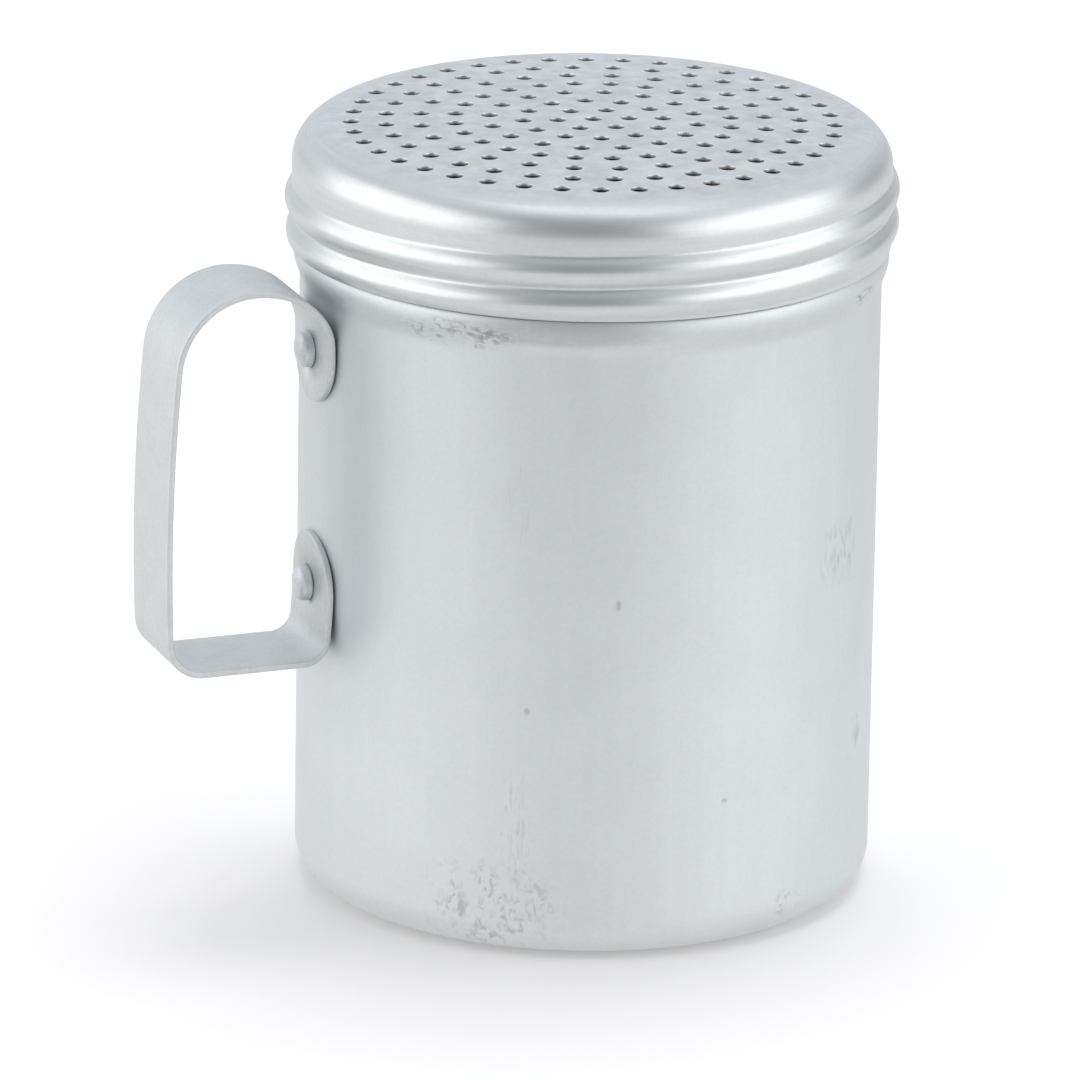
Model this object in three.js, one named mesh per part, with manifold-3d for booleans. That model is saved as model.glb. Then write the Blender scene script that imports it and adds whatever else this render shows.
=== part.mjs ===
// A restaurant spice shaker: an aluminium cup with a riveted strap handle and a screw-on lid full of holes.
// Millimetres, +Z up. The origin is on the cup's axis, in the face it stands on. The handle is at -X.
import * as THREE from "three";
import { mergeGeometries, mergeVertices } from "three/addons/utils/BufferGeometryUtils.js";
import Module from "manifold-3d";

const wasm = await Module();
wasm.setup();

// Whole object
const overallHeight = 94.3; // table to the middle of the lid

// Cup
const cupRadius = 34.925; // outside of the wall
const cupWall = 0.8; // sheet of the wall and the floor
const cupCornerRadius = 4.2; // outside of the turn from floor to wall
const beadOut = 0.8; // how far the bead under the lid swells past the wall
const beadHeight = 4.6; // height in which the wall swells out to the bead
const beadEase = 0.3; // rounding where the bead turns in to the neck
const neckThreadHeight = 0.65; // how far the neck's thread stands out of the neck

// Lid
const lidStandOut = 1.025; // cup's wall to the outside of the skirt, between the turns of the thread
const lidSheet = 0.6;
const lidSkirt = 14.05; // rim of the top face down to the open edge
const lidShoulderRadius = 4.5; // outside of the roll from top face to skirt
const crownRise = 0.65; // how much the top face domes up in the middle
const lidThreadHeight = 0.85; // how far the thread pressed in the skirt stands out

// Thread, shared by the neck and the skirt
const threadPitch = 4.0;
const threadStart = THREE.MathUtils.degToRad(75); // turned from +X, where the turns leave the lid's edge
const lidThreadTurns = 2.2;
const neckThreadTurns = 2.5;
const threadFade = 0.3; // turns in which a thread grows from nothing at either end
const threadClearance = 0.3; // between the neck's thread and the inside of the skirt

// Holes in the lid, one in the middle and rings around it
const holeRadius = 0.975;
const firstRingRadius = 4.3;
const lastRingInset = 2.55; // rim of the top face to the middle of the last ring's holes
const ringCounts = [6, 12, 16, 24, 24, 32, 40];
const ringPhases = [-12, -14, -27, -13, -12, -15, -19]; // degrees from +X

// Handle, which hangs under the lid's edge
const strapWidth = 12.7;
const strapThickness = 0.75;
const gripStandOff = 20.675; // cup's wall to the outside of the grip
const handleDrop = 1.25; // lid's edge to the outside of the arch
const handleHeight = 47.35; // outside of the arch to the underside of the lower run
const gripWidestDrop = 33.35; // outside of the arch to where the bowed grip stands out furthest
const gripBowRadius = 260;
const gripTopBend = 9.6; // bends are measured in the middle of the strap
const gripBottomBend = 4.1;
const wallBend = 2.9;

// Rivets
const upperRivetDrop = 9.55; // outside of the arch to the upper rivet
const lowerRivetRise = 8.6; // underside of the lower run to the lower rivet
const rivetShankRadius = 1.5;
const rivetHeadRadius = 2.2;
const rivetHeadHeight = 1.4;
const rivetHeadSide = 0.5; // straight part of the head, under its dome
const rivetHeadEase = 0.1;
const rivetTailRadius = 2.1;
const rivetTailHeight = 0.8;
const rivetTailEase = 0.35;
const rivetClearance = 0.25; // around the shank, and between the tail and the hollow side of the wall

const seatGap = 0.3; // lid to cup, at the open edge and under the shoulder

// Fineness of the faceted solids
const roundSteps = 48;
const rivetSteps = 20;
const holeSteps = 6;
const threadRowHeight = 0.8;
const beadRowHeight = 1.1;
const facetSag = 0.03; // how far a straight step may lie inside the arc that it stands for

// Places worked out from the sizes above
const lidTop = overallHeight - crownRise;
const lidEdge = lidTop - lidSkirt;
const lidRadius = cupRadius + lidStandOut;
const shoulderLevel = lidTop - lidShoulderRadius;
const plateRadius = lidRadius - lidShoulderRadius;
const ringSpacing = (plateRadius - lastRingInset - firstRingRadius) / (ringCounts.length - 1);
const beadTop = lidEdge - seatGap;
const neckRadius = lidRadius - lidSheet - threadClearance - neckThreadHeight;
const strapMiddle = cupRadius + strapThickness / 2;
const handleTop = lidEdge - handleDrop;
const handleBottom = handleTop - handleHeight;
const gripWidest = handleTop - gripWidestDrop;
const upperRivetHeight = handleTop - upperRivetDrop;
const lowerRivetHeight = handleBottom + lowerRivetRise;

// The rim stops short of the hollow side of the lid's shoulder, measured out from the shoulder's centre.
const shoulderRoom = lidShoulderRadius - lidSheet - seatGap;
const rimLevel = shoulderLevel + Math.sqrt(shoulderRoom ** 2 - (neckRadius - plateRadius) ** 2);

const metal = (color, roughness) => new THREE.MeshStandardMaterial({ color, roughness, metalness: 1 });

function solidOf(geometry) {
  const bare = geometry.clone();
  bare.deleteAttribute("normal");
  bare.deleteAttribute("uv");
  const merged = mergeVertices(bare, 1e-4);
  return new wasm.Manifold(
    new wasm.Mesh({
      numProp: 3,
      vertProperties: merged.attributes.position.array,
      triVerts: new Uint32Array(merged.index.array),
    }),
  );
}

function geometryOf(solid) {
  const { vertProperties, triVerts } = solid.getMesh();
  const geometry = new THREE.BufferGeometry();
  geometry.setAttribute("position", new THREE.BufferAttribute(vertProperties, 3));
  geometry.setIndex(new THREE.BufferAttribute(triVerts, 1));
  geometry.computeVertexNormals();
  return geometry;
}

function piece(name, geometry, material) {
  const mesh = new THREE.Mesh(geometry, material);
  mesh.name = name;
  return mesh;
}

// Straight steps that stand for a turn, in radians, of an arc.
function arcSteps(radius, turn) {
  return Math.ceil(Math.abs(turn) / (2 * Math.acos(1 - facetSag / radius)));
}

// Points of an arc from one angle to another, both in degrees, as [radius, height] pairs. The rise is its
// second radius, along the height.
function arc(centreR, centreZ, radius, from, to, rise = radius) {
  const steps = arcSteps(Math.max(radius, rise), THREE.MathUtils.degToRad(to - from));
  return Array.from({ length: steps + 1 }, (_, i) => {
    const angle = THREE.MathUtils.degToRad(THREE.MathUtils.lerp(from, to, i / steps));
    return [centreR + radius * Math.cos(angle), centreZ + rise * Math.sin(angle)];
  });
}

// Evenly spaced heights from one level to another, both included.
function levels(from, to, spacing) {
  const steps = Math.max(1, Math.round(Math.abs(to - from) / spacing));
  return Array.from({ length: steps + 1 }, (_, i) => THREE.MathUtils.lerp(from, to, i / steps));
}

// A profile of [radius, height] pairs turned about the Z axis.
function turned(profile) {
  const points = profile.map(([r, z]) => new THREE.Vector2(r, z));
  return new THREE.LatheGeometry(points, roundSteps).rotateX(Math.PI / 2);
}

// How far a rolled thread lifts the sheet at an angle and a height. Its crest climbs one pitch a turn from
// the lid's edge, anticlockwise seen from above. A crest is a low arch as wide as the pitch.
function threadLift(angle, z, height, turns) {
  const part = THREE.MathUtils.euclideanModulo(angle - threadStart, 2 * Math.PI) / (2 * Math.PI);
  let lift = 0;
  for (let turn = part; turn < turns; turn += 1) {
    const off = (z - lidEdge - threadPitch * turn) / (threadPitch / 2);
    const grown = Math.min(1, turn / threadFade, (turns - turn) / threadFade);
    lift += height * grown * Math.max(0, 1 - off ** 2);
  }
  return lift;
}

// Presses the thread into every vertex of a turned sheet between two levels, out to both of its sides alike.
function pressThread(geometry, bottom, top, innerLimit, height, turns) {
  const position = geometry.attributes.position;
  for (let i = 0; i < position.count; i++) {
    const [x, y, z] = [position.getX(i), position.getY(i), position.getZ(i)];
    const radius = Math.hypot(x, y);
    if (z < bottom - 1e-3 || z > top + 1e-3 || radius < innerLimit) continue;
    const scale = 1 + threadLift(Math.atan2(y, x), z, height, turns) / radius;
    position.setXY(i, x * scale, y * scale);
  }
  return geometry;
}

// Cup: floor, wall, the bead that swells out under the lid, and the threaded neck.
function beadSide(offset) {
  const [start, end] = [beadTop - beadHeight, beadTop - beadEase];
  const swell = (z) => cupRadius + offset + beadOut * THREE.MathUtils.smoothstep(z, start, end);
  return levels(start, end, beadRowHeight).map((z) => [swell(z), z]);
}

function cupGeometry() {
  const cornerRadius = cupRadius - cupCornerRadius;
  const neckInside = neckRadius - cupWall;
  const outside = [
    [0, 0],
    ...arc(cornerRadius, cupCornerRadius, cupCornerRadius, -90, 0),
    ...beadSide(0),
    [cupRadius + beadOut - beadEase, beadTop],
    ...levels(beadTop, rimLevel, threadRowHeight).map((z) => [neckRadius, z]),
  ];
  const inside = [
    ...levels(rimLevel, beadTop - cupWall, threadRowHeight).map((z) => [neckInside, z]),
    ...beadSide(-cupWall).reverse().slice(1),
    ...arc(cornerRadius, cupCornerRadius, cupCornerRadius - cupWall, 0, -90),
    [0, cupWall],
  ];
  const sheet = turned([...outside, ...inside]);
  const threaded = pressThread(sheet, beadTop, rimLevel, 0, neckThreadHeight, neckThreadTurns);
  return geometryOf(solidOf(threaded).subtract(rivetHoles()));
}

// Lid: a domed plate full of holes, a rolled shoulder and the threaded skirt.
function crownHeight(radius) {
  return lidTop + crownRise * (1 - (radius / plateRadius) ** 2);
}

// Points across the plate, in the middle and halfway between every second pair of rings of holes.
function platePoints(drop) {
  const between = ringCounts.map((_, ring) => firstRingRadius + (ring + 0.5) * ringSpacing);
  const kept = between.filter((_, ring) => ring % 2 === 1);
  return [0, ...kept].map((radius) => [radius, crownHeight(radius) - drop]);
}

function lidHoles() {
  const depth = 4 * (lidSheet + crownRise);
  const punch = (radius, angle) =>
    new THREE.CylinderGeometry(holeRadius, holeRadius, depth, holeSteps)
      .rotateX(Math.PI / 2)
      .translate(radius * Math.cos(angle), radius * Math.sin(angle), lidTop);
  const ringOf = (count, ring) =>
    Array.from({ length: count }, (_, i) => {
      const angle = THREE.MathUtils.degToRad(ringPhases[ring]) + (i * 2 * Math.PI) / count;
      return punch(firstRingRadius + ring * ringSpacing, angle);
    });
  return solidOf(mergeGeometries([punch(0, 0), ...ringCounts.flatMap(ringOf)]));
}

function lidGeometry() {
  const outside = [
    ...platePoints(0),
    ...arc(plateRadius, shoulderLevel, lidShoulderRadius, 90, 0),
    ...levels(shoulderLevel, lidEdge, threadRowHeight).slice(1).map((z) => [lidRadius, z]),
  ];
  const inside = [
    ...levels(lidEdge, shoulderLevel, threadRowHeight).map((z) => [lidRadius - lidSheet, z]),
    ...arc(plateRadius, shoulderLevel, lidShoulderRadius - lidSheet, 0, 90).slice(1),
    ...platePoints(lidSheet).reverse(),
  ];
  const sheet = turned([...outside, ...inside].reverse());
  const threaded = pressThread(sheet, lidEdge, shoulderLevel, plateRadius, lidThreadHeight, lidThreadTurns);
  return geometryOf(solidOf(threaded).subtract(lidHoles()));
}

// Handle: a strap bent in the XZ plane, from the upper tab over the arch, down the grip and back to the cup.
function strapLine() {
  const top = handleTop - strapThickness / 2;
  const bottom = handleBottom + strapThickness / 2;
  const bowX = gripBowRadius + strapThickness / 2 - cupRadius - gripStandOff;
  const centreX = (z, radius) => bowX - Math.sqrt((gripBowRadius - radius) ** 2 - (z - gripWidest) ** 2);
  const upperX = centreX(top - gripTopBend, gripTopBend);
  const lowerX = centreX(bottom + gripBottomBend, gripBottomBend);
  const upperTurn = Math.atan2(top - gripTopBend - gripWidest, upperX - bowX);
  const lowerTurn = 2 * Math.PI + Math.atan2(bottom + gripBottomBend - gripWidest, lowerX - bowX);
  const archStart = upperRivetHeight + rivetHeadRadius;
  const run = (...ends) => [new THREE.LineCurve(...ends.map(([x, z]) => new THREE.Vector2(x, z))), 1];
  const bend = (x, z, width, height, from, to) => [
    new THREE.EllipseCurve(x, z, width, height, from, to),
    arcSteps(Math.max(width, height), to - from),
  ];
  const quarter = Math.PI / 2;
  return [
    run([-strapMiddle, upperRivetHeight - strapWidth / 2], [-strapMiddle, archStart]),
    bend(upperX, archStart, -strapMiddle - upperX, top - archStart, 0, quarter),
    bend(upperX, top - gripTopBend, gripTopBend, gripTopBend, quarter, upperTurn),
    bend(bowX, gripWidest, gripBowRadius, gripBowRadius, upperTurn, lowerTurn),
    bend(lowerX, bottom + gripBottomBend, gripBottomBend, gripBottomBend, lowerTurn, 3 * quarter),
    run([lowerX, bottom], [-strapMiddle - wallBend, bottom]),
    bend(-strapMiddle - wallBend, bottom + wallBend, wallBend, wallBend, 3 * quarter, 4 * quarter),
    run([-strapMiddle, bottom + wallBend], [-strapMiddle, lowerRivetHeight + strapWidth / 2]),
  ];
}

function strapOutline() {
  const near = [];
  const far = [];
  strapLine().forEach(([curve, steps], index) => {
    for (let i = index ? 1 : 0; i <= steps; i++) {
      const point = curve.getPoint(i / steps);
      const tangent = curve.getTangent(i / steps);
      const across = new THREE.Vector2(-tangent.y, tangent.x).multiplyScalar(strapThickness / 2);
      near.push(point.clone().add(across));
      far.push(point.clone().sub(across));
    }
  });
  return new THREE.Shape([...near, ...far.reverse()]);
}

// What is cut from the corners of a tab to leave it round about its rivet. Direction is 1 where it points up.
function tabCorners(level, direction) {
  const half = strapWidth / 2;
  const shape = new THREE.Shape();
  shape.moveTo(half, 0);
  shape.absarc(0, 0, half, 0, Math.PI, false);
  shape.lineTo(-2 * half, 0);
  shape.lineTo(-2 * half, 2 * half);
  shape.lineTo(2 * half, 2 * half);
  shape.lineTo(2 * half, 0);
  const depth = 4 * strapThickness;
  const curveSegments = arcSteps(half, Math.PI);
  const cutter = new THREE.ExtrudeGeometry(shape, { depth, bevelEnabled: false, curveSegments });
  cutter.translate(0, 0, -depth / 2).rotateX(Math.PI / 2).rotateZ(Math.PI / 2);
  if (direction < 0) cutter.rotateX(Math.PI);
  return solidOf(cutter.translate(-strapMiddle, 0, level));
}

function rivetHoles() {
  const radius = rivetShankRadius + rivetClearance;
  const length = 4 * (strapThickness + cupWall);
  const drills = [upperRivetHeight, lowerRivetHeight].map((level) =>
    new THREE.CylinderGeometry(radius, radius, length, rivetSteps)
      .rotateZ(Math.PI / 2)
      .translate(-cupRadius, 0, level),
  );
  return solidOf(mergeGeometries(drills));
}

function handleGeometry() {
  const bent = new THREE.ExtrudeGeometry(strapOutline(), { depth: strapWidth, bevelEnabled: false });
  bent.translate(0, 0, -strapWidth / 2).rotateX(Math.PI / 2);
  const strap = solidOf(bent)
    .subtract(tabCorners(upperRivetHeight, -1))
    .subtract(tabCorners(lowerRivetHeight, 1))
    .subtract(rivetHoles());
  return geometryOf(strap);
}

// Rivet: a low round head on the strap, a shank through strap and wall, and a tail spread inside the cup.
function rivetGeometry() {
  const headSeat = cupRadius + strapThickness;
  const tailSeat = cupRadius - cupWall - rivetClearance;
  const tailEnd = tailSeat - rivetTailHeight;
  const profile = [
    [0, tailEnd],
    [rivetTailRadius - rivetTailEase, tailEnd],
    [rivetTailRadius, tailEnd + rivetTailEase],
    [rivetTailRadius, tailSeat],
    [rivetShankRadius, tailSeat],
    [rivetShankRadius, headSeat],
    [rivetHeadRadius - rivetHeadEase, headSeat],
    ...arc(0, headSeat + rivetHeadSide, rivetHeadRadius, 0, 90, rivetHeadHeight - rivetHeadSide),
  ];
  const points = profile.map(([r, out]) => new THREE.Vector2(r, out));
  return new THREE.LatheGeometry(points, rivetSteps).rotateZ(Math.PI / 2);
}

function rivet(name, level) {
  const mesh = piece(name, rivetGeometry(), metal("#b9bfc3", 0.45));
  mesh.position.z = level;
  return mesh;
}

const shaker = new THREE.Group();
const cup = new THREE.Group();
cup.add(
  piece("cup_body", cupGeometry(), metal("#cdd2d6", 0.38)),
  piece("handle", handleGeometry(), metal("#c6cccf", 0.45)),
  rivet("rivet_upper", upperRivetHeight),
  rivet("rivet_lower", lowerRivetHeight),
);
shaker.add(cup, piece("lid", lidGeometry(), metal("#d8dcdf", 0.25)));

export default shaker;
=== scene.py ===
import math

import bmesh
import bpy
import numpy as np
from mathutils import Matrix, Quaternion, Vector
from mathutils.geometry import delaunay_2d_cdt


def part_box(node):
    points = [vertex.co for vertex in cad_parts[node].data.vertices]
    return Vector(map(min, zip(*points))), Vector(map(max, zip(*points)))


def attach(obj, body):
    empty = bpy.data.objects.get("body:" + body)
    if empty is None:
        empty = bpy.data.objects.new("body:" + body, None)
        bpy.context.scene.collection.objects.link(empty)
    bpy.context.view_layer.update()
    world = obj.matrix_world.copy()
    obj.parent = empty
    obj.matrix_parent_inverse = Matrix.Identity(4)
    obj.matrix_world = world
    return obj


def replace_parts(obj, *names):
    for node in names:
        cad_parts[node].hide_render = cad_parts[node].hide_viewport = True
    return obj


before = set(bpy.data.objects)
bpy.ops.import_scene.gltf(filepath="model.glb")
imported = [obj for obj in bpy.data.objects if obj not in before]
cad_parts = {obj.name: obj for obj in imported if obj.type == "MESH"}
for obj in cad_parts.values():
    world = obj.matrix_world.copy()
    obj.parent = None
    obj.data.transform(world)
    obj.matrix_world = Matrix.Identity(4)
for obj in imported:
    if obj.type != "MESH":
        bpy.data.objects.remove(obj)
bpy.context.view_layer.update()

# Aluminium spice shaker: cup, strap handle, two rivets and a screw-on lid. +Z is up and the handle is at -X.
# Lengths are in millimetres and angles in degrees until a mesh is made; toMetres turns them into metres.
toMetres = 0.001
print("frame loaded:", ", ".join(sorted(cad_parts)))


def boxOf(node):  # lowest and highest corner of a CAD node, in millimetres
    low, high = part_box(node)
    return np.array(low) / toMetres, np.array(high) / toMetres


lidLow, lidHigh = boxOf("lid")
strapLow, strapHigh = boxOf("handle")
lidEdge = lidLow[2]
rimLevel = boxOf("cup_body")[1][2]
rivetHeights = {name: sum(boxOf(name))[2] / 2 for name in ("rivet_upper", "rivet_lower")}


# Camera, fitted to the outline in the picture

camera = {
    "azimuth": -21.0,  # from straight in front, with the handle at the left
    "elevation": 17.67,
    "distance": 1293.0,  # from the point that it is aimed by, on the cup's axis
    "aimHeight": 45.0,
    "lens": 356.7,
    "sensor": 36.0,
    "imageSize": 1080,
    "aimPixel": (586.6, 511.6),  # where that point lies in the picture
    "roll": 0.99,
    "clip": (10.0, 50000.0),
}


def addCamera():
    # stands back from the aimed point, then turns until that point lies at its pixel
    made = bpy.data.objects.new("camera", bpy.data.cameras.new("camera"))
    bpy.context.collection.objects.link(made)
    bpy.context.scene.camera = made
    made.data.lens = camera["lens"]
    made.data.sensor_width = camera["sensor"]
    made.data.clip_start, made.data.clip_end = [far * toMetres for far in camera["clip"]]
    turn, lift = math.radians(camera["azimuth"]), math.radians(camera["elevation"])
    back = Vector((math.sin(turn) * math.cos(lift), -math.cos(turn) * math.cos(lift), math.sin(lift)))
    aim = Vector((0, 0, camera["aimHeight"])) * toMetres
    made.location = aim + back * camera["distance"] * toMetres
    pixels = camera["lens"] / camera["sensor"] * camera["imageSize"]  # focal length in pixels
    middle = camera["imageSize"] / 2
    yaw = math.atan((camera["aimPixel"][0] - middle) / pixels)
    pitch = math.atan((camera["aimPixel"][1] - middle) / pixels)
    made.rotation_mode = "QUATERNION"
    made.rotation_quaternion = (
        (-back).to_track_quat("-Z", "Y")
        @ Quaternion((0, 0, 1), math.radians(camera["roll"]))
        @ Quaternion((0, 1, 0), yaw)
        @ Quaternion((1, 0, 0), pitch)
    )


addCamera()
print("camera set")


# Shared ways of making a surface

roundSteps = 192  # points round the cup and the lid
mergeGap = 2e-3  # points closer than this become one


def arc(centre, radii, start, end, steps):
    # centre + (a cos t, b sin t) for t from start to end
    t = np.radians(np.linspace(start, end, steps + 1))
    return np.column_stack([centre[0] + radii[0] * np.cos(t), centre[1] + radii[1] * np.sin(t)])


def wall(radius, start, end, spacing):
    # one radius at evenly spaced heights
    heights = np.linspace(start, end, max(1, round(abs(end - start) / spacing)) + 1)
    return np.column_stack([np.full(len(heights), radius), heights])


def ringAngles(count):
    return np.arange(count) * 2 * np.pi / count


def gridFaces(rows, columns, copies=1):
    # four-sided faces between neighbouring rings of points, for several like grids one after another
    row, column = np.meshgrid(np.arange(rows - 1), np.arange(columns), indexing="ij")
    beside = (column + 1) % columns
    near, far = row * columns, (row + 1) * columns
    faces = np.stack([near + column, near + beside, far + beside, far + column], axis=-1).reshape(-1, 4)
    return (faces + rows * columns * np.arange(copies)[:, None, None]).reshape(-1, 4)


def fillBetween(loops, inner=np.empty((0, 2))):
    # Delaunay triangles over a flat sheet, inside its first loop and outside the round loops after it
    points = np.vstack([*loops, inner])
    ends = np.cumsum([0] + [len(loop) for loop in loops])
    loopRows = [np.arange(first, last) for first, last in zip(ends, ends[1:])]
    edges = [np.column_stack([row, np.roll(row, -1)]) for row in loopRows]
    wholeHull, sameWithin = 0, 1e-6  # kind of result, and millimetres within which points are one
    made = delaunay_2d_cdt([Vector(p) for p in points], np.vstack(edges).tolist(), [], wholeHull, sameWithin)
    given = np.array([same[0] for same in made[3]])  # the row of each made point among those given
    triangles = given[np.array(made[2])]
    loopOf = np.searchsorted(ends, triangles, side="right") - 1
    inHole = (loopOf == loopOf[:, :1]).all(axis=1) & (loopOf[:, 0] > 0) & (loopOf[:, 0] < len(loops))
    return triangles[~inHole]


def makePiece(name, parts, body, finish):
    # one mesh from (points in millimetres, faces) parts: doubles merged, faces turned outwards, smooth
    points = np.vstack([part[0] for part in parts]) * toMetres
    starts = np.cumsum([0] + [len(part[0]) for part in parts])
    faces = [face for start, part in zip(starts, parts) for face in (part[1] + start).tolist()]
    mesh = bpy.data.meshes.new(name)
    mesh.from_pydata(points.tolist(), [], faces)
    shape = bmesh.new()
    shape.from_mesh(mesh)
    bmesh.ops.remove_doubles(shape, verts=shape.verts, dist=mergeGap * toMetres)
    bmesh.ops.dissolve_degenerate(shape, dist=mergeGap * toMetres / 20, edges=shape.edges)
    bmesh.ops.recalc_face_normals(shape, faces=shape.faces)
    openEdges = sum(not edge.is_manifold for edge in shape.edges)
    shape.to_mesh(mesh)
    shape.free()
    mesh.polygons.foreach_set("use_smooth", np.ones(len(mesh.polygons), dtype=bool))
    mesh.materials.append(finish)
    piece = bpy.data.objects.new(name, mesh)
    bpy.context.collection.objects.link(piece)
    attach(piece, body)
    print(f"{name}: {len(mesh.vertices)} points, {len(mesh.polygons)} faces, {openEdges} open edges")
    return piece


# Screw thread rolled into the lid's skirt and the cup's neck

thread = {
    "pitch": 4.0,
    "start": 75.0,  # turned from +X, where it leaves the lid's edge
    "fade": 0.3,  # turns in which it grows from nothing at either end
    "lidHeight": 0.85,
    "lidTurns": 2.2,
    "neckHeight": 0.65,
    "neckTurns": 2.5,
    "groove": 0.15,  # how rounded the groove between two turns is, in half pitches
    "lidRowHeight": 0.13,
    "neckRowHeight": 0.25,
}


def threadLift(angle, z, height, turns):
    # an arch one pitch wide, whose crest climbs one pitch a turn from the lid's edge: height * u (2 - u),
    # with u = (sqrt(s^2 + g^2) - g) / (sqrt(1 + g^2) - g), s from 0 in the groove to 1 on the crest and
    # g the groove's rounding
    groove = thread["groove"]
    part = np.mod(angle - math.radians(thread["start"]), 2 * np.pi) / (2 * np.pi)
    lift = np.zeros(np.broadcast(angle, z).shape)
    for whole in range(math.ceil(turns)):
        turn = part + whole
        off = (z - lidEdge - thread["pitch"] * turn) / (thread["pitch"] / 2)
        grown = np.clip(np.minimum(turn, turns - turn) / thread["fade"], 0, 1)
        rise = (np.hypot(np.clip(1 - abs(off), 0, 1), groove) - groove) / (math.hypot(1, groove) - groove)
        lift += height * grown * rise * (2 - rise)
    return lift


def polar(radius, angle, z):
    # (r cos a, r sin a, z) for whole arrays of radii, angles and heights
    radius, angle, z = np.broadcast_arrays(radius, angle, z)
    return np.stack([radius * np.cos(angle), radius * np.sin(angle), z], axis=-1)


# Cup: drawn from one sheet, with a bead under the lid and a threaded neck

cup = {
    "radius": 34.925,
    "wall": 0.8,
    "cornerRadius": 4.2,
    "beadOut": 0.8,
    "beadHeight": 4.6,
    "beadRound": (0.55, 1.5),  # how far its rounded top runs in and up
    "seatGap": 0.12,
    "neckGap": 0.3,  # between the neck's thread and the skirt
    "rivetHoleRadius": 1.75,
    "holeCells": 2,  # grid cells from a rivet's middle to the edge of the cells that its hole replaces
    "rowHeight": 1.12,
    "floorRings": 6,
    "beadRows": 12,
}

lid = {
    "radius": 35.95,  # outside of the skirt between the turns of the thread
    "sheet": 0.6,
    "shoulderRadius": 4.5,
    "crownRise": 0.65,
    "edgeEase": 0.12,
    "firstRing": 4.3,
    "ringSpacing": 4.1,
    "ringCounts": [6, 12, 16, 24, 24, 32, 40],
    "ringPhases": [-12, -14, -27, -13, -12, -15, -19],  # degrees from +X
    "holeSteps": 16,
    # radius and depth of each row in a hole: dished round its edge, then straight
    "holeProfile": [(1.2, 0.0), (1.1, 0.015), (1.04, 0.05), (1.015, 0.15), (1.0, 0.4), (1.0, 0.6)],
}

lidTop = lidHigh[2] - lid["crownRise"]
plateRadius = lid["radius"] - lid["shoulderRadius"]
shoulderLevel = lidTop - lid["shoulderRadius"]
beadTop = lidEdge - cup["seatGap"]
neckRadius = lid["radius"] - lid["sheet"] - cup["neckGap"] - thread["neckHeight"]


def smoothStep(share):
    # s^2 (3 - 2 s), with s kept between 0 and 1
    share = np.clip(share, 0, 1)
    return share * share * (3 - 2 * share)


def wallHeights():
    # rows evenly spaced between the rivets, and on at the same spacing to the corner and to the bead
    low, high = rivetHeights["rivet_lower"], rivetHeights["rivet_upper"]
    spacing = (high - low) / round((high - low) / cup["rowHeight"])
    first = math.ceil((cup["cornerRadius"] + spacing / 4 - low) / spacing)
    last = math.floor((beadTop - cup["beadHeight"] - spacing / 4 - low) / spacing)
    return low + spacing * np.arange(first, last + 1)


def cupSide(offset, heights):
    # the wall and the bead over it, moved in or out by an offset: the bead swells as a smooth step of height
    start, end = beadTop - cup["beadHeight"], beadTop - cup["beadRound"][1]
    beadLevels = np.linspace(start, end, cup["beadRows"])
    radius = cup["radius"] + offset
    swell = cup["beadOut"] * smoothStep((beadLevels - start) / (end - start))
    bead = np.column_stack([radius + swell, beadLevels])
    return np.vstack([np.column_stack([np.full(len(heights), radius), heights]), bead])


def cupProfile(heights):
    # outside from the middle of the floor up to the rim, then the inside back down
    beadRound, sheet = cup["beadRound"], cup["wall"]
    corner = cup["radius"] - cup["cornerRadius"]
    lip = cup["radius"] + cup["beadOut"] - beadRound[0]
    neckInside = neckRadius - sheet
    rimMiddle = (neckRadius - sheet / 2, rimLevel - sheet / 2)
    floorRings = np.linspace(0, corner, cup["floorRings"] + 1)[:-1]
    outside = [
        np.column_stack([floorRings, np.zeros(len(floorRings))]),
        arc((corner, cup["cornerRadius"]), (cup["cornerRadius"],) * 2, -90, 0, steps=12),
        cupSide(0, heights),
        arc((lip, beadTop - beadRound[1]), beadRound, 0, 90, steps=10)[1:],
        wall(neckRadius, beadTop, rimLevel - sheet / 2, thread["neckRowHeight"]),
        arc(rimMiddle, (sheet / 2, sheet / 2), 0, 180, steps=8)[1:-1],
    ]
    inside = [
        wall(neckInside, rimLevel - sheet / 2, beadTop - sheet, thread["neckRowHeight"]),
        cupSide(-sheet, heights)[::-1][2:],
        arc((corner, cup["cornerRadius"]), (cup["cornerRadius"] - sheet,) * 2, 0, -90, steps=10),
        np.column_stack([floorRings[::-1], np.full(len(floorRings), sheet)]),
    ]
    return np.vstack(outside), np.vstack(inside)


def rowAtLevel(profile, radius, level):
    # the row of a profile nearest to a level, among those of the wall with that radius
    isWall = abs(profile[:, 0] - radius) < cup["wall"] / 2
    return np.where(isWall, abs(profile[:, 1] - level), np.inf).argmin()


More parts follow.
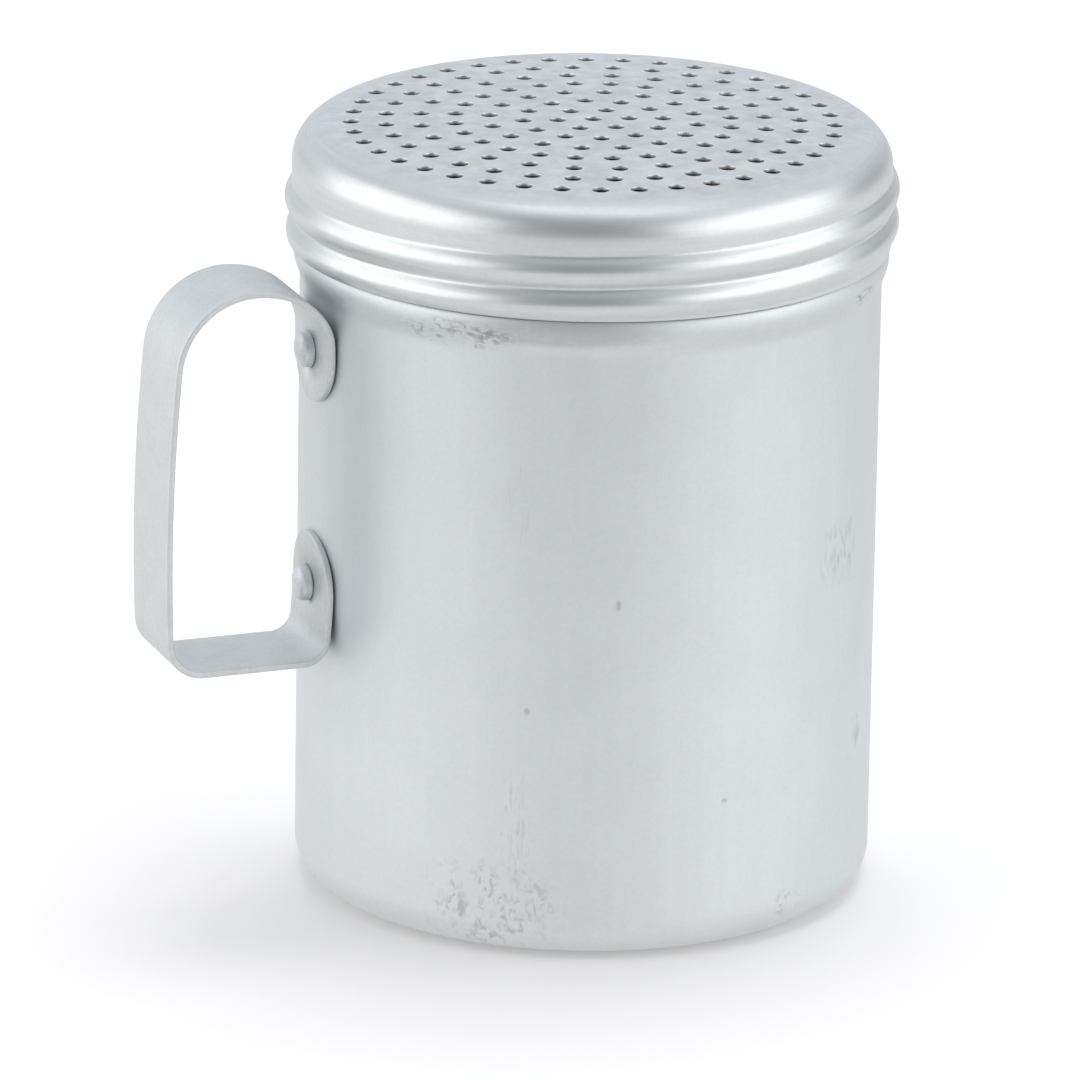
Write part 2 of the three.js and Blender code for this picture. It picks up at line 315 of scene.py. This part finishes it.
def openRivetHole(angle, z, faces, rows, middle):
    # the square of cells round a rivet gives way to a round hole through the outer and the inner face: each
    # point on the square's edge moves straight towards the middle until it is one hole radius away
    cells = cup["holeCells"]
    across, up = np.meshgrid(np.arange(-cells, cells + 1), np.arange(-cells, cells + 1))
    isEdge = np.maximum(abs(across), abs(up)) == cells
    edgeAcross, edgeUp = across[isEdge], up[isEdge]
    order = np.argsort(np.arctan2(edgeUp, edgeAcross))
    edgeAcross, edgeUp = edgeAcross[order], edgeUp[order]
    column = roundSteps // 2
    reach = np.hypot(edgeAcross, edgeUp)
    loops = []
    for row, way in zip(rows, (1, -1)):
        place = (row + way * edgeUp, column + edgeAcross)
        angle[place] = np.pi + cup["rivetHoleRadius"] * edgeAcross / reach / cup["radius"]
        z[place] = middle + cup["rivetHoleRadius"] * edgeUp / reach
        loops.append(place[0] * roundSteps + place[1])
        inBlock = (abs(faces // roundSteps - row) <= cells) & (abs(faces % roundSteps - column) <= cells)
        faces = faces[~inBlock.all(axis=1)]
    tube = np.column_stack([loops[0], np.roll(loops[0], -1), np.roll(loops[1], -1), loops[1]])
    return np.vstack([faces, tube])


def cupParts():
    # the profile carried round the axis: r + lift of the thread on both faces of the neck
    outside, inside = cupProfile(wallHeights())
    profile = np.vstack([outside, inside])
    angle = np.tile(ringAngles(roundSteps), (len(profile), 1))
    z = np.repeat(profile[:, 1:], roundSteps, axis=1)
    radius = np.repeat(profile[:, :1], roundSteps, axis=1)
    neckMiddle = neckRadius - cup["wall"] / 2
    onNeck = (z > beadTop - cup["wall"] - mergeGap) & (abs(radius - neckMiddle) < cup["wall"])
    lift = threadLift(angle, np.maximum(z, beadTop), thread["neckHeight"], thread["neckTurns"])
    radius += np.where(onNeck, lift, 0)
    faces = gridFaces(len(profile), roundSteps)
    for level in rivetHeights.values():
        outerRow = rowAtLevel(outside, cup["radius"], level)
        innerRow = len(outside) + rowAtLevel(inside, cup["radius"] - cup["wall"], level)
        faces = openRivetHole(angle, z, faces, (outerRow, innerRow), level)
    return [(polar(radius, angle, z).reshape(-1, 3), faces)]


# Lid: a domed plate full of punched holes, a rolled shoulder and a threaded skirt


def holeCentres():
    # one hole in the middle, and rings of evenly spaced holes round it
    rings = enumerate(zip(lid["ringCounts"], lid["ringPhases"]))
    centres = [np.zeros((1, 2))]
    for ring, (count, phase) in rings:
        turn = ringAngles(count) + math.radians(phase)
        reach = lid["firstRing"] + ring * lid["ringSpacing"]
        centres.append(reach * np.column_stack([np.cos(turn), np.sin(turn)]))
    return np.vstack(centres)


def onPlate(plan, depth):
    # plan points of the plate at a depth under its dome: z = top + rise (1 - r^2 / R^2) - depth
    reach = np.hypot(plan[..., 0], plan[..., 1]) / plateRadius
    return np.concatenate([plan, (lidTop + lid["crownRise"] * (1 - reach**2) - depth)[..., None]], axis=-1)


def plateParts():
    # top and underside filled between the holes, and each hole's wall as a profile carried round its middle
    turn = ringAngles(lid["holeSteps"])
    compass = np.column_stack([np.cos(turn), np.sin(turn)])
    rim = plateRadius * np.column_stack([np.cos(ringAngles(roundSteps)), np.sin(ringAngles(roundSteps))])
    centres = holeCentres()
    radii, depths = np.array(lid["holeProfile"]).T
    rings = centres[:, None, None, :] + radii[:, None, None] * compass  # by hole, row of profile, step round
    walls = onPlate(rings, np.broadcast_to(depths[:, None], rings.shape[:-1]))
    triangles = fillBetween([rim, *rings[:, 0]])
    top = onPlate(np.vstack([rim, rings[:, 0].reshape(-1, 2)]), np.zeros(1))
    under = onPlate(np.vstack([rim, rings[:, -1].reshape(-1, 2)]), np.full(1, lid["sheet"]))
    return [
        (top, triangles),
        (under, triangles[:, ::-1]),
        (walls.reshape(-1, 3), gridFaces(len(radii), lid["holeSteps"], len(centres))),
    ]


def lidParts():
    # shoulder, skirt, edge and inside, carried round the axis: r + lift of the thread on the skirt
    ease, sheet, roll = lid["edgeEase"], lid["sheet"], lid["shoulderRadius"]
    middle = lid["radius"] - sheet / 2
    profile = np.vstack([
        arc((plateRadius, shoulderLevel), (roll, roll), 90, 0, steps=16),
        wall(lid["radius"], shoulderLevel, lidEdge + ease, thread["lidRowHeight"])[1:],
        arc((lid["radius"] - ease, lidEdge + ease), (ease, ease), 0, -90, steps=3)[1:],
        arc((lid["radius"] - sheet + ease, lidEdge + ease), (ease, ease), -90, -180, steps=3),
        wall(lid["radius"] - sheet, lidEdge + ease, shoulderLevel, thread["lidRowHeight"])[1:],
        arc((plateRadius, shoulderLevel), (roll - sheet, roll - sheet), 0, 90, steps=12)[1:],
    ])
    angle = ringAngles(roundSteps)
    radius, z = profile[:, :1], profile[:, 1:]
    lift = threadLift(angle, z, thread["lidHeight"], thread["lidTurns"])
    onSkirt = abs(radius - middle) < sheet
    skirt = polar(radius + lift * np.where(onSkirt & (z <= shoulderLevel), 1, 0), angle, z)
    return [(skirt.reshape(-1, 3), gridFaces(len(profile), roundSteps)), *plateParts()]


# Handle: a flat strap with round ends, bent to a loop

strap = {
    "thickness": 0.75,
    "edgeEase": 0.16,
    "gripWidest": 45.0,
    "gripBowRadius": 260.0,
    "gripTopBend": 9.6,
    "gripBottomBend": 4.1,
    "wallBend": 2.9,
    "archStart": 2.2,  # above the upper rivet's middle
    "hug": 0.6,  # how far its tabs follow the cup's curve: 0 flat, 1 touching all across
    "hugLength": (7.0, 13.0),  # from each end, where that fades out
    "step": 0.6,
    "crossLines": [-4.8, -2.4, 0, 2.4, 4.8],
    "bendSteps": 60,
    "endSteps": 32,
    "holeSteps": 24,
}
strapWidth = strapHigh[1] - strapLow[1]
strapMiddle = cup["radius"] + strap["thickness"] / 2


def strapLine():
    # the strap's middle line in the XZ plane: upper tab, arch, grip, lower run and lower tab, as arcs joined
    half = strap["thickness"] / 2
    top, bottom = strapHigh[2] - half, strapLow[2] + half
    topBend, bottomBend, wallBend = strap["gripTopBend"], strap["gripBottomBend"], strap["wallBend"]
    bow, widest = strap["gripBowRadius"], strap["gripWidest"]
    bowX = strapLow[0] + half + bow
    topX = bowX - math.sqrt((bow - topBend) ** 2 - (top - topBend - widest) ** 2)
    bottomX = bowX - math.sqrt((bow - bottomBend) ** 2 - (bottom + bottomBend - widest) ** 2)
    topTurn = math.degrees(math.atan2(top - topBend - widest, topX - bowX))
    bottomTurn = 360 + math.degrees(math.atan2(bottom + bottomBend - widest, bottomX - bowX))
    upper, lower = rivetHeights["rivet_upper"], rivetHeights["rivet_lower"]
    archStart = upper + strap["archStart"]
    steps = strap["bendSteps"]
    return np.vstack([
        [[-strapMiddle, upper - strapWidth / 2]],
        arc((topX, archStart), (-strapMiddle - topX, top - archStart), 0, 90, 2 * steps),
        arc((topX, top - topBend), (topBend, topBend), 90, topTurn, 2 * steps)[1:],
        arc((bowX, widest), (bow, bow), topTurn, bottomTurn, steps)[1:],
        arc((bottomX, bottom + bottomBend), (bottomBend, bottomBend), bottomTurn, 270, steps)[1:],
        arc((-strapMiddle - wallBend, bottom + wallBend), (wallBend, wallBend), 270, 360, steps),
        [[-strapMiddle, lower + strapWidth / 2]],
    ])


def bendStrap(along, across, out):
    # flat strap to bent strap: middle line at that length, plus out times its normal; across stays along Y,
    # and at the tabs x moves towards the cup by a share of R - sqrt(R^2 - y^2)
    line = strapLine()
    step = np.diff(line, axis=0)
    lengths = np.concatenate([[0], np.cumsum(np.hypot(*step.T))])
    slopes = np.unwrap(np.arctan2(step[:, 1], step[:, 0]))
    slope = np.interp(along, (lengths[1:] + lengths[:-1]) / 2, slopes)
    full, none = strap["hugLength"]
    fromEnd = np.minimum(along, lengths[-1] - along)
    hug = strap["hug"] * (1 - smoothStep((fromEnd - full) / (none - full)))
    curve = cup["radius"] - np.sqrt(cup["radius"] ** 2 - np.square(across))
    x = np.interp(along, lengths, line[:, 0]) - out * np.sin(slope) + hug * curve
    z = np.interp(along, lengths, line[:, 1]) + out * np.cos(slope)
    return np.stack(np.broadcast_arrays(x, across, z), axis=-1)


def strapParts():
    # both faces filled round the rivet holes, the eased edge carried along the outline and the holes' walls:
    # all are laid out flat and then bent
    half, ease = strap["thickness"] / 2, strap["edgeEase"]
    length = np.hypot(*np.diff(strapLine(), axis=0).T).sum()
    endRadius = strapWidth / 2
    straight = np.linspace(endRadius, length - endRadius, round((length - strapWidth) / strap["step"]) + 1)
    ends = np.radians(np.linspace(-90, 90, strap["endSteps"] + 1))[1:-1]
    side = np.full(len(straight), np.pi / 2)
    # outline: lower side, far end, upper side, near end, as points on the middle line and outward directions
    farEnd, nearEnd = [np.full(len(ends), end) for end in (straight[-1], straight[0])]
    foot = np.concatenate([straight, farEnd, straight[::-1], nearEnd])
    turn = np.concatenate([-side, ends, side, ends + np.pi])
    out = np.column_stack([np.cos(turn), np.sin(turn)])
    edge = arc((endRadius - ease, half - ease), (ease, ease), 90, 0, steps=3)
    edge = np.vstack([[[endRadius - 3 * ease, half]], edge])
    edge = np.vstack([edge, edge[::-1] * (1, -1)])  # how far out and how high each line round the edge runs
    loops = np.stack([np.column_stack([foot, np.zeros(len(foot))]) + reach * out for reach in edge[:, 0]])
    border = bendStrap(loops[..., 0], loops[..., 1], edge[:, 1:])
    rivets = np.array([[endRadius, 0], [length - endRadius, 0]])
    turns = ringAngles(strap["holeSteps"])
    compass = np.column_stack([np.cos(turns), np.sin(turns)])
    holes = rivets[:, None] + cup["rivetHoleRadius"] * compass
    along, across = np.meshgrid(straight[1:-1], strap["crossLines"])
    inner = np.column_stack([along.ravel(), across.ravel()])
    fromRivet = np.hypot(*(inner[:, None] - rivets).transpose(2, 0, 1)).min(axis=1)
    inner = inner[fromRivet > cup["rivetHoleRadius"] + strap["step"]]
    triangles = fillBetween([loops[0], *holes], inner)
    plan = np.vstack([loops[0], *holes, inner])
    bothFaces = [bendStrap(holes[..., 0], holes[..., 1], np.array(out)) for out in (half, -half)]
    tube = np.stack(bothFaces, axis=1)
    return [
        (bendStrap(plan[:, 0], plan[:, 1], np.array(half)), triangles),
        (bendStrap(plan[:, 0], plan[:, 1], np.array(-half)), triangles[:, ::-1]),
        (border.reshape(-1, 3), gridFaces(len(edge), len(foot))),
        (tube.reshape(-1, 3), gridFaces(2, strap["holeSteps"], len(holes))),
    ]


# Rivets: low round heads on the strap, tails spread inside the cup

rivet = {
    "shankRadius": 1.5,
    "headRadius": 2.15,
    "headHeight": 1.7,
    "headSide": 0.9,
    "headEase": 0.1,
    "tailRadius": 2.1,
    "tailHeight": 0.8,
    "tailEase": 0.35,
    "clearance": 0.25,
    "roundSteps": 48,
}


def rivetParts(level):
    # profile (r, out) carried round the X axis: x = -out, y = r cos a, z = level + r sin a
    head, tail, shank = rivet["headRadius"], rivet["tailRadius"], rivet["shankRadius"]
    headSeat = cup["radius"] + strap["thickness"]
    tailSeat = cup["radius"] - cup["wall"] - rivet["clearance"]
    tailEnd = tailSeat - rivet["tailHeight"]
    side, ease, tailEase = rivet["headSide"], rivet["headEase"], rivet["tailEase"]
    profile = np.vstack([
        [[0, tailEnd], [tail / 2, tailEnd]],
        arc((tail - tailEase, tailEnd + tailEase), (tailEase, tailEase), -90, 0, steps=5),
        [[tail, tailSeat], [shank, tailSeat], [shank, headSeat]],
        arc((head - ease, headSeat + ease), (ease, ease), -90, 0, steps=3),
        arc((0, headSeat + side), (head, rivet["headHeight"] - side), 0, 90, steps=14),
    ])
    ring = polar(profile[:, :1], ringAngles(rivet["roundSteps"]), profile[:, 1:])
    points = np.stack([-ring[..., 2], ring[..., 0], level + ring[..., 1]], axis=-1)
    return [(points.reshape(-1, 3), gridFaces(len(profile), rivet["roundSteps"]))]


# Finishes


def linear(hexColour):
    # an sRGB hex colour as linear red, green, blue and alpha
    share = [int(hexColour[i : i + 2], 16) / 255 for i in (1, 3, 5)]
    return [c / 12.92 if c <= 0.04045 else ((c + 0.055) / 1.055) ** 2.4 for c in share] + [1.0]


def addNode(tree, kind, values=None, links=None, **settings):
    # a node with its settings, the values of its sockets and the links that come into them
    node = tree.nodes.new("ShaderNode" + kind)
    for name, value in settings.items():
        setattr(node, name, value)
    for socket, value in (values or {}).items():
        node.inputs[socket].default_value = value
    for socket, source in (links or {}).items():
        tree.links.new(source, node.inputs[socket])
    return node.outputs


def newFinish(name):
    finish = bpy.data.materials.new(name)
    finish.use_nodes = True
    finish.node_tree.nodes.clear()
    return finish, finish.node_tree


def patternPlace(tree, stretch):
    # places in millimetres, divided by how many times longer a pattern is along each axis
    place = addNode(tree, "TexCoord")["Object"]
    scale = [1 / toMetres / longer for longer in stretch]
    return addNode(tree, "Mapping", {"Scale": scale}, {"Vector": place})[0]


def cloud(tree, place, size, detail, low, high, edges=(0.3, 0.7), warp=0.0):
    # noise with patches of a size in millimetres, spread from low to high between two edges, and warped
    values = {"Scale": 1 / size, "Detail": detail, "Distortion": warp}
    noise = addNode(tree, "TexNoise", values, {"Vector": place})[0]
    values = {"From Min": edges[0], "From Max": edges[1], "To Min": low, "To Max": high}
    return addNode(tree, "MapRange", values, {"Value": noise})[0]


def layered(tree, layers):
    # brightness of several layers over one another: their product
    whole = layers[0]
    for layer in layers[1:]:
        whole = addNode(tree, "Math", links={0: whole, 1: layer}, operation="MULTIPLY")[0]
    return whole


def shade(tree, look):
    # one brightness for the whole finish: the product of its clouds, each 1 - share to 1 + share
    return layered(tree, [
        cloud(tree, patternPlace(tree, stretch), size, detail, 1 - share, 1 + share)
        for size, stretch, detail, share in look["clouds"]
    ])


def metal(tree, look, brightness, roughness):
    # colour times brightness, with a roughness and fine relief that follow the same pattern
    colour = linear(look["colour"])[:3]
    tinted = addNode(tree, "VectorMath", {0: colour}, {"Scale": brightness}, operation="SCALE")["Vector"]
    values = {"Strength": 1.0, "Distance": look["relief"] * toMetres}
    relief = addNode(tree, "Bump", values, {"Height": brightness})[0]
    surface = addNode(
        tree,
        "BsdfPrincipled",
        {"Metallic": 1.0},
        {"Base Color": tinted, "Roughness": roughness, "Normal": relief},
    )
    addNode(tree, "OutputMaterial", links={"Surface": surface[0]})


def roughnessFrom(tree, look, brightness):
    # roughness * (1 + swing * (1 - brightness)): duller where it is darker
    rough, swing = look["roughness"], look["swing"]
    values = {1: -rough * swing, 2: rough * (1 + swing)}
    return addNode(tree, "Math", values, {0: brightness}, operation="MULTIPLY_ADD")[0]


cupLook = {
    "colour": "#E5E8EA",
    "roughness": 0.5,
    "swing": 1.2,
    "relief": 0.06,
    "foot": 1.075,  # painted light: brightness at the foot
    "top": 0.965,  # and painted shade just under the lid
    # size, stretch along x, y and z, detail and share of each cloud
    "clouds": [(9.0, (1, 1, 1), 3, 0.014), (0.5, (1, 1, 1), 2, 0.016), (1.3, (1, 1, 40), 2, 0.006)],
    # marks are warped clouds of a size, stretched along x, y and z and kept between two edges of their noise.
    # Most gather in clusters. They darken by the depth, at places on the wall that are given as angle from
    # the camera, height, half width and half height
    "wear": {
        "knocks at the foot": {
            "size": 1.0, "stretch": (1, 1, 1.4), "edges": (0.5, 0.66), "clusters": 3.2, "depth": 0.24,
            "places": [(-18, 6, 11, 8), (46, 4, 4, 2.5)],
        },
        "streaks over the foot": {
            "size": 0.6, "stretch": (1, 1, 4), "edges": (0.5, 0.66), "clusters": 3.2, "depth": 0.15,
            "places": [(-13, 16, 3, 9)],
        },
        "smears under the lid": {
            "size": 0.65, "stretch": (2, 2, 1), "edges": (0.46, 0.6), "clusters": 2.4, "depth": 0.32,
            "places": [(-26, 76.7, 9.5, 2.2), (66, 77, 4, 1.4)],
        },
        # not wear: a broad painted shade along the wall just under the lid's edge
        "painted shade under the lid": {
            "size": 2.5, "stretch": (3, 3, 1), "edges": (0.2, 0.5), "clusters": None, "depth": 0.18,
            "places": [(-6, 77.7, 17, 2)],
        },
        "rubbing": {
            "size": 0.8, "stretch": (1, 1, 4), "edges": (0.45, 0.62), "clusters": 2.2, "depth": 0.2,
            "places": [(60, 46, 5.5, 5.5), (70, 22, 2, 3)],
        },
        "hair scratches": {
            "size": 0.45, "stretch": (1, 1, 16), "edges": (0.55, 0.66), "clusters": 6.0, "depth": 0.06,
            "places": [(-12, 56, 3.5, 9)],
        },
        "specks": {
            "size": 8.0, "stretch": (1, 1, 1), "edges": (0.1, 0.2), "clusters": None, "depth": 0.2,
            "places": [(6.5, 44.5, 0.45, 0.9), (-11, 31, 0.5, 0.6), (29, 19, 0.6, 0.4)],
        },
    },
    "wearDetail": 5,
    "wearWarp": 0.9,
    "wearFade": 0.4,  # share of the way from a place's middle to its end, at which it starts to fade
    "clusterDetail": 2,
    "clusterEdges": (0.36, 0.52),
}


def wornPlace(tree, place, spot):
    # 1 in the middle of a worn place to 0 at its end, as a smooth step of sqrt((x/w)^2 + (y/w)^2 + (z/h)^2)
    angle, height, wide, tall = spot
    turn = math.radians(camera["azimuth"] + angle)
    middle = (cup["radius"] * math.sin(turn), -cup["radius"] * math.cos(turn), height)
    off = addNode(tree, "VectorMath", {1: middle}, {0: place}, operation="SUBTRACT")["Vector"]
    scale = (1 / wide, 1 / wide, 1 / tall)
    share = addNode(tree, "VectorMath", {1: scale}, {0: off}, operation="MULTIPLY")["Vector"]
    away = addNode(tree, "VectorMath", links={0: share}, operation="LENGTH")["Value"]
    values = {"From Min": cupLook["wearFade"], "From Max": 1.0, "To Min": 1.0, "To Max": 0.0}
    return addNode(tree, "MapRange", values, {"Value": away}, interpolation_type="SMOOTHSTEP")[0]


def worn(tree):
    # brightness of the wear and painted shade: product of 1 - depth * marks * clusters * worn place over its
    # kinds
    place = patternPlace(tree, (1, 1, 1))
    left = []
    for wear in cupLook["wear"].values():
        reach = None
        for spot in wear["places"]:
            patch = wornPlace(tree, place, spot)
            if reach is not None:
                patch = addNode(tree, "Math", links={0: reach, 1: patch}, operation="MAXIMUM")[0]
            reach = patch
        stretched = patternPlace(tree, wear["stretch"])
        detail, warp = cupLook["wearDetail"], cupLook["wearWarp"]
        marks = [cloud(tree, stretched, wear["size"], detail, 0, 1, wear["edges"], warp), reach]
        if wear["clusters"]:
            clusterEdges = cupLook["clusterEdges"]
            marks.append(cloud(tree, place, wear["clusters"], cupLook["clusterDetail"], 0, 1, clusterEdges))
        values = {1: -wear["depth"], 2: 1.0}
        left.append(addNode(tree, "Math", values, {0: layered(tree, marks)}, operation="MULTIPLY_ADD")[0])
    return layered(tree, left)


def satinDrawnAluminium():
    # soft grey sheen of deep-drawn, washed aluminium, the wear of handling, and painted light and shade by
    # height
    finish, tree = newFinish("satin drawn aluminium")
    height = addNode(tree, "SeparateXYZ", links={0: patternPlace(tree, (1, 1, 1))})["Z"]
    # painted light and shade by height: lighter towards the foot, darker just under the lid
    values = {"From Min": 0.0, "From Max": beadTop, "To Min": cupLook["foot"], "To Max": cupLook["top"]}
    paintedLightByHeight = addNode(tree, "MapRange", values, {"Value": height})[0]
    brightness = layered(tree, [shade(tree, cupLook), paintedLightByHeight, worn(tree)])
    metal(tree, cupLook, brightness, roughnessFrom(tree, cupLook, brightness))
    return finish


lidLook = {
    "colour": "#E2E4E5",
    "roughness": 0.39,
    "swing": 1.5,
    "relief": 0.04,
    "clouds": [(3.0, (1, 1, 1), 2, 0.015), (0.6, (1, 1, 1), 2, 0.02), (0.25, (60, 60, 1), 2, 0.025)],
    "plateRoughness": 0.43,
    "plateFrom": (93.2, 93.75),  # heights between which the shoulder's sheen gives way to the plate's
    "plateMottle": (2.2, 0.89, 1.06),  # size and range of its blotches
    "mottleDetail": 4,
}


def spunAluminium():
    # bright rolled shoulder and skirt with fine lines round them, and a duller, slightly blotchy plate
    finish, tree = newFinish("spun aluminium")
    place = patternPlace(tree, (1, 1, 1))
    height = addNode(tree, "SeparateXYZ", links={0: place})["Z"]
    low, high = lidLook["plateFrom"]
    onPlateShare = addNode(tree, "MapRange", {"From Min": low, "From Max": high}, {"Value": height})[0]
    size, darkest, lightest = lidLook["plateMottle"]
    blotches = cloud(tree, place, size, lidLook["mottleDetail"], darkest, lightest)
    onlyThere = addNode(tree, "Mix", {2: 1.0}, {0: onPlateShare, 3: blotches}, data_type="FLOAT")[0]
    brightness = layered(tree, [shade(tree, lidLook), onlyThere])
    dulling = lidLook["plateRoughness"] / lidLook["roughness"]
    values = {"From Min": low, "From Max": high, "To Min": 1.0, "To Max": dulling}
    duller = addNode(tree, "MapRange", values, {"Value": height})[0]
    metal(tree, lidLook, brightness, layered(tree, [roughnessFrom(tree, lidLook, brightness), duller]))
    return finish


strapLook = {
    "colour": "#E3E5E6",
    "roughness": 0.56,
    "swing": 1.0,
    "relief": 0.05,
    "clouds": [(4.0, (1, 1, 1), 3, 0.025), (0.5, (1, 1, 1), 2, 0.025), (0.6, (30, 1, 30), 2, 0.01)],
}


def millFinishStrip():
    # dull strip as it comes from the rolling mill, with faint lines along its length
    finish, tree = newFinish("mill finish aluminium strip")
    brightness = shade(tree, strapLook)
    metal(tree, strapLook, brightness, roughnessFrom(tree, strapLook, brightness))
    return finish


rivetLook = {
    "colour": "#E8ECEE",
    "roughness": 0.52,
    "swing": 1.0,
    "relief": 0.12,
    "clouds": [(1.6, (1, 1, 1), 2, 0.05), (0.3, (1, 1, 1), 2, 0.04)],
}


def headedWire():
    # dull, with the light hammering of a set head
    finish, tree = newFinish("headed aluminium wire")
    brightness = shade(tree, rivetLook)
    metal(tree, rivetLook, brightness, roughnessFrom(tree, rivetLook, brightness))
    return finish


cupFinish = satinDrawnAluminium()
lidFinish = spunAluminium()
strapFinish = millFinishStrip()
rivetFinish = headedWire()
print("finishes made")

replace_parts(makePiece("cup", cupParts(), "cup", cupFinish), "cup_body")
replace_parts(makePiece("screw_lid", lidParts(), "lid", lidFinish), "lid")
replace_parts(makePiece("strap_handle", strapParts(), "cup", strapFinish), "handle")
for node, level in rivetHeights.items():
    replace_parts(makePiece(node + "_head", rivetParts(level), "cup", rivetFinish), node)


# Studio: a pale floor, soft lamps at both sides and above, and a dim room

studio = {
    "floorReach": 6000.0,
    "floorGap": 0.02,  # under the foot, so that the two don't lie in one plane
    "floorSeen": "#FFFBFA",  # the paper in the picture, where it takes back the room's slight blue
    "floorMirrored": "#92928F",  # the paper as the metal sees it
    "floorGlow": 0.5,  # light that the metal sees in it as well
    "roomColour": "#F3FAFF",
    "room": 0.29,
    # brighter parts of the room: azimuth from the camera and elevation of the middle, cosines at the outer
    # and at the inner end of the fading edge, level
    "zones": {
        "backdrop": (187, 17, 0.62, 0.92, 0.84),
        "ceiling": (155, 68, 0.38, 0.82, 0.84),
    },
    "lamps": [  # azimuth from the camera, elevation, distance, width, height and how bright it looks
        (-80, 20, 1500, 2400, 1150, 1.05),
        (69, 20, 1500, 2100, 1150, 1.02),
        (0, 84, 1500, 1150, 650, 0.42),
    ],
    "rearLamp": (168, 72, 1500, 1000, 900, 2.0),  # for the paper alone: the soft shadow in front of the foot
}


def addLamp(azimuth, elevation, distance, width, height, level):
    # a rectangle aimed at the middle of the cup that looks as bright as its level: energy = 4 * level * area
    data = bpy.data.lights.new("softbox", "AREA")
    data.shape = "RECTANGLE"
    data.size, data.size_y = width * toMetres, height * toMetres
    data.energy = 4 * level * data.size * data.size_y
    lamp = bpy.data.objects.new("softbox", data)
    bpy.context.collection.objects.link(lamp)
    turn, lift = math.radians(camera["azimuth"] + azimuth), math.radians(elevation)
    back = Vector((math.sin(turn) * math.cos(lift), -math.cos(turn) * math.cos(lift), math.sin(lift)))
    lamp.location = Vector((0, 0, camera["aimHeight"] * toMetres)) + back * distance * toMetres
    lamp.rotation_mode = "QUATERNION"
    lamp.rotation_quaternion = (-back).to_track_quat("-Z", "Y")
    lamp.visible_camera = False
    return lamp


def addFloor():
    # white paper: the camera sees one white, and the metal another one with a little light of its own
    mesh = bpy.data.meshes.new("floor")
    corners = np.array([[-1, -1, 0], [1, -1, 0], [1, 1, 0], [-1, 1, 0]]) * studio["floorReach"] * toMetres
    mesh.from_pydata(corners.tolist(), [], [[0, 1, 2, 3]])
    floor = bpy.data.objects.new("floor", mesh)
    floor.location.z = -studio["floorGap"] * toMetres
    bpy.context.collection.objects.link(floor)
    finish, tree = newFinish("white paper")
    path = addNode(tree, "LightPath")
    lift = addNode(tree, "Math", {1: studio["floorGlow"]}, {0: path["Is Glossy Ray"]}, operation="MULTIPLY")
    glow = addNode(tree, "Emission", {"Color": (1, 1, 1, 1)}, {"Strength": lift[0]})
    plain = addNode(tree, "BsdfDiffuse", {"Color": linear(studio["floorMirrored"])})
    paper = addNode(tree, "AddShader", links={0: plain[0], 1: glow[0]})
    seen = addNode(tree, "BsdfDiffuse", {"Color": linear(studio["floorSeen"])})
    shown = addNode(tree, "MixShader", links={0: path["Is Camera Ray"], 1: paper[0], 2: seen[0]})
    addNode(tree, "OutputMaterial", links={"Surface": shown[0]})
    mesh.materials.append(finish)


def addRoom():
    # level * colour, with the highest level of the room's own and its zones', and white for the camera
    world = bpy.data.worlds.new("room")
    bpy.context.scene.world = world
    world.use_nodes = True
    tree = world.node_tree
    tree.nodes.clear()
    direction = addNode(tree, "TexCoord")["Generated"]
    level = None
    for azimuth, elevation, outer, inner, brightness in studio["zones"].values():
        turn, lift = math.radians(camera["azimuth"] + azimuth), math.radians(elevation)
        middle = (math.sin(turn) * math.cos(lift), -math.cos(turn) * math.cos(lift), math.sin(lift))
        towards = addNode(tree, "VectorMath", {1: middle}, {0: direction}, operation="DOT_PRODUCT")["Value"]
        values = {"From Min": outer, "From Max": inner, "To Min": studio["room"], "To Max": brightness}
        zone = addNode(tree, "MapRange", values, {"Value": towards}, interpolation_type="SMOOTHSTEP")[0]
        if level is not None:
            zone = addNode(tree, "Math", links={0: level, 1: zone}, operation="MAXIMUM")[0]
        level = zone
    lit = addNode(tree, "Background", {"Color": linear(studio["roomColour"])}, {"Strength": level})
    white = addNode(tree, "Background", {"Color": (1, 1, 1, 1), "Strength": 1.0})
    seen = addNode(tree, "LightPath")["Is Camera Ray"]
    shown = addNode(tree, "MixShader", links={0: seen, 1: lit[0], 2: white[0]})
    addNode(tree, "OutputWorld", links={"Surface": shown[0]})


for lamp in studio["lamps"]:
    addLamp(*lamp)
addLamp(*studio["rearLamp"]).visible_glossy = False
addFloor()
addRoom()
bpy.context.scene.view_settings.view_transform = "Standard"
print("studio lit")
